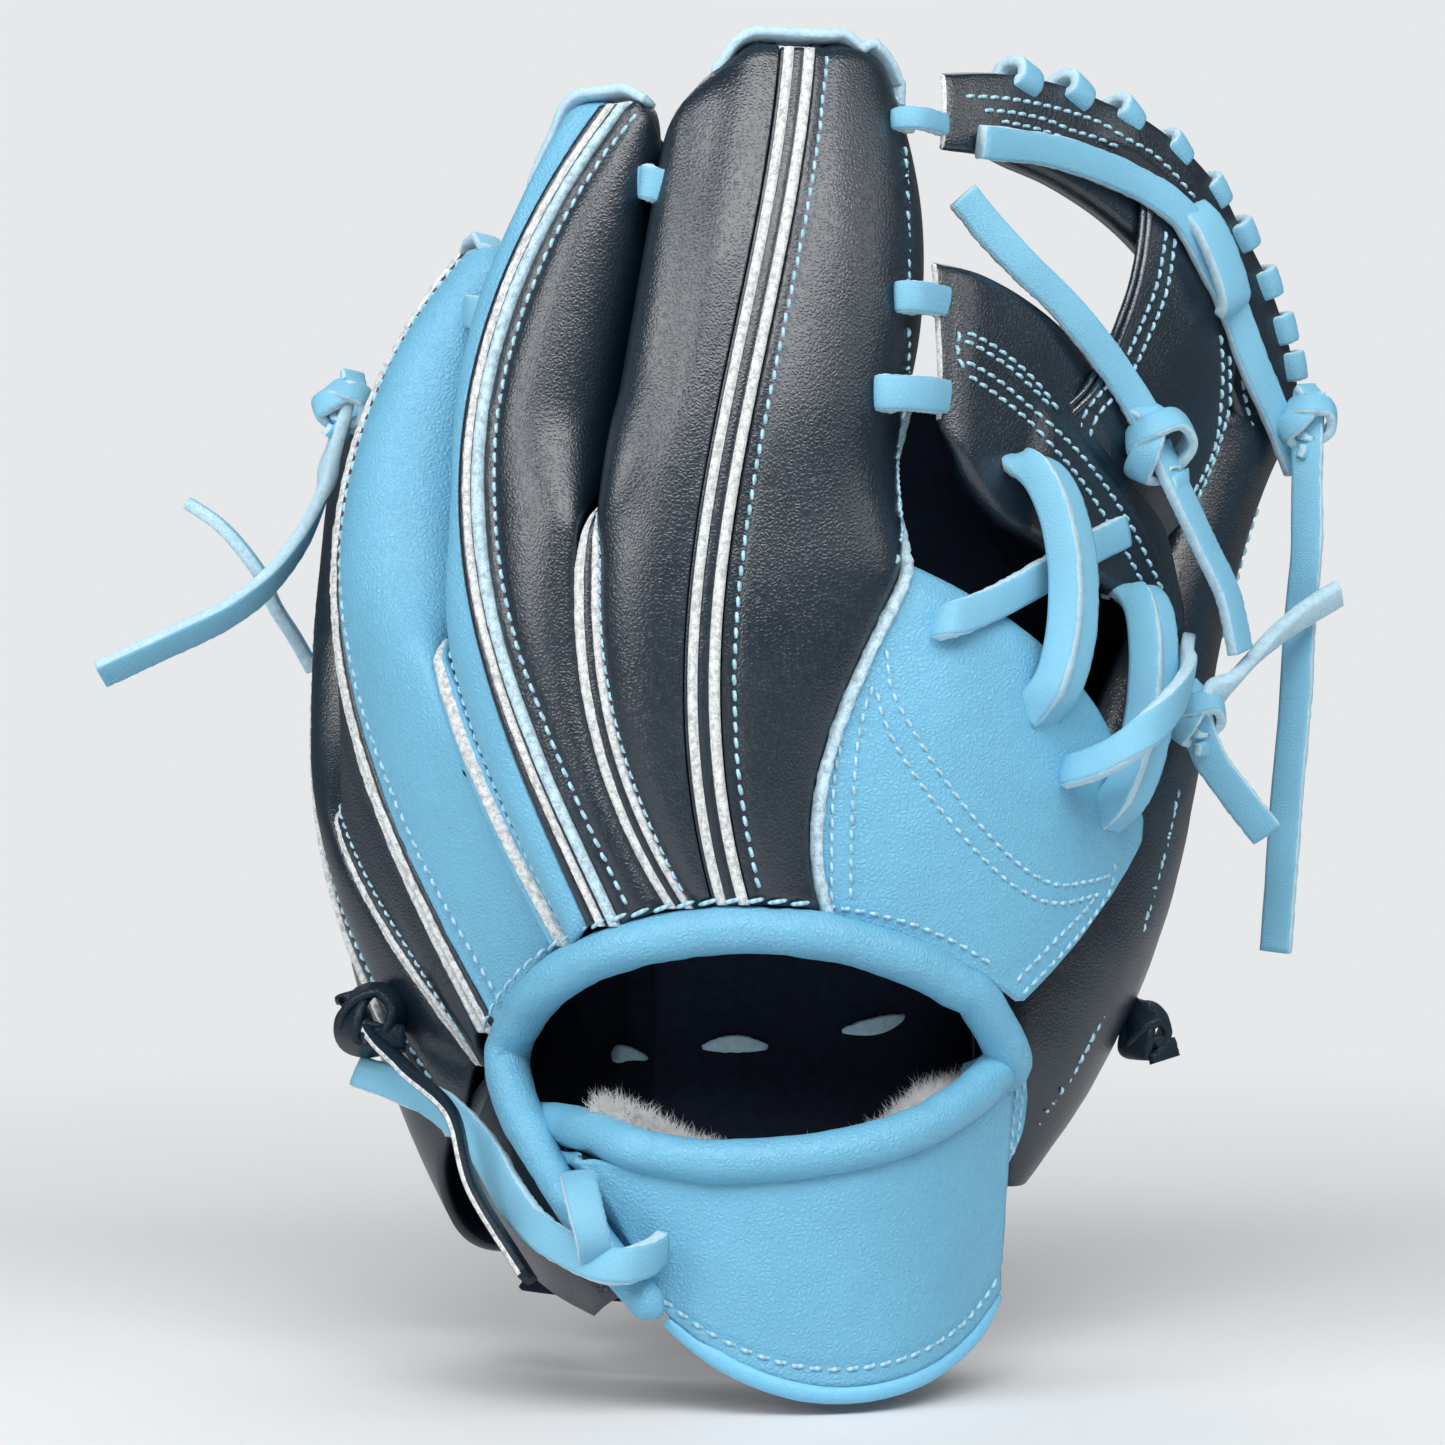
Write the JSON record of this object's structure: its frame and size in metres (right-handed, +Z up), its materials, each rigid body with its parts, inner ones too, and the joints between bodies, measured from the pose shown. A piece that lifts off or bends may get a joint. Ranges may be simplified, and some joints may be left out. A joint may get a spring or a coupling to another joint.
{
  "type": "baseball fielding glove",
  "caption": "Laced leather infield glove for the left hand with padded finger stalls, an I-shaped web, a fleeced wrist strap and a thumb that folds to close the pocket.",
  "frame": {"origin": "centre of the hand opening in the back of the glove", "axes": "+Z up the fingers, -Y out of the back of the hand, +X to the thumb"},
  "size_m": [0.2755, 0.1626, 0.2772],
  "materials": {
    "black_leather": "fine pebble grain, soft sheen",
    "blue_leather": "smooth grain, soft sheen",
    "welt_leather": "raw cut edges, matt",
    "blue_lace": "split rawhide lace, matt edges",
    "black_lace": "split rawhide lace",
    "lining_leather": "soft suede, matt",
    "wool_felt": "pressed felt",
    "fleece": "sheared pile"
  },
  "bodies": {
    "hand": {"palm_shell": "black_leather", "palm_felt": "wool_felt", "palm_lining": "lining_leather", "back_lining": "lining_leather", "pinky_outer_panel": "black_leather", "pinky_inner_panel": "black_leather", "ring_outer_panel": "black_leather", "ring_inner_panel": "blue_leather", "middle_outer_panel": "blue_leather", "middle_inner_panel": "black_leather", "index_outer_panel": "black_leather", "index_inner_panel": "black_leather", "pinky_ridge_welt": "welt_leather", "ring_ridge_welt": "welt_leather", "middle_ridge_welt": "welt_leather", "index_ridge_welt": "welt_leather", "pinky_ring_welt": "welt_leather", "ring_middle_welt": "welt_leather", "middle_index_welt": "welt_leather", "thumb_back_panel": "blue_leather", "opening_binding": "blue_leather", "wrist_strap": "blue_leather", "strap_binding": "blue_leather", "strap_piping": "blue_leather", "strap_fleece": "fleece", "strap_tab": "blue_leather", "pinky_heel_panel": "black_leather", "palm_crease": "black_leather", "fingertip_laces": "blue_lace", "finger_tie_laces": "blue_lace", "web_index_laces": "blue_lace", "crotch_laces": "blue_lace", "strap_lace": "blue_lace", "pinky_tip_knot": "blue_lace", "pinky_tail_long": "blue_lace", "pinky_tail_short": "blue_lace", "heel_knot": "black_lace", "heel_tail": "black_lace"},
    "thumb": {"thumb_outer_panel": "black_leather", "thumb_front_panel": "black_leather", "thumb_lining": "lining_leather", "web_top_bar": "black_leather", "web_post": "black_leather", "web_lower_bar": "black_leather", "web_edge_wraps": "blue_lace", "web_span_lace": "blue_lace", "web_knot": "blue_lace", "web_tail_upper": "blue_lace", "web_tail_lower": "blue_lace", "thumb_tip_knot": "blue_lace", "thumb_tip_tail": "blue_lace", "thumb_side_knot": "blue_lace", "thumb_side_tail_upper": "blue_lace", "thumb_side_tail_lower": "blue_lace", "thumb_heel_knot": "black_lace"}
  },
  "joints": [
    {"name": "thumb_fold", "type": "hinge", "parent": "hand", "child": "thumb", "pos_m": [0.05, 0.02, -0.03], "axis": [-0.0616, -0.1232, 0.9905], "range_deg": [0, 25], "stiffness_Nm_per_rad": 0.6, "deforming": ["palm_crease", "web_index_laces", "crotch_laces"]}
  ]
}
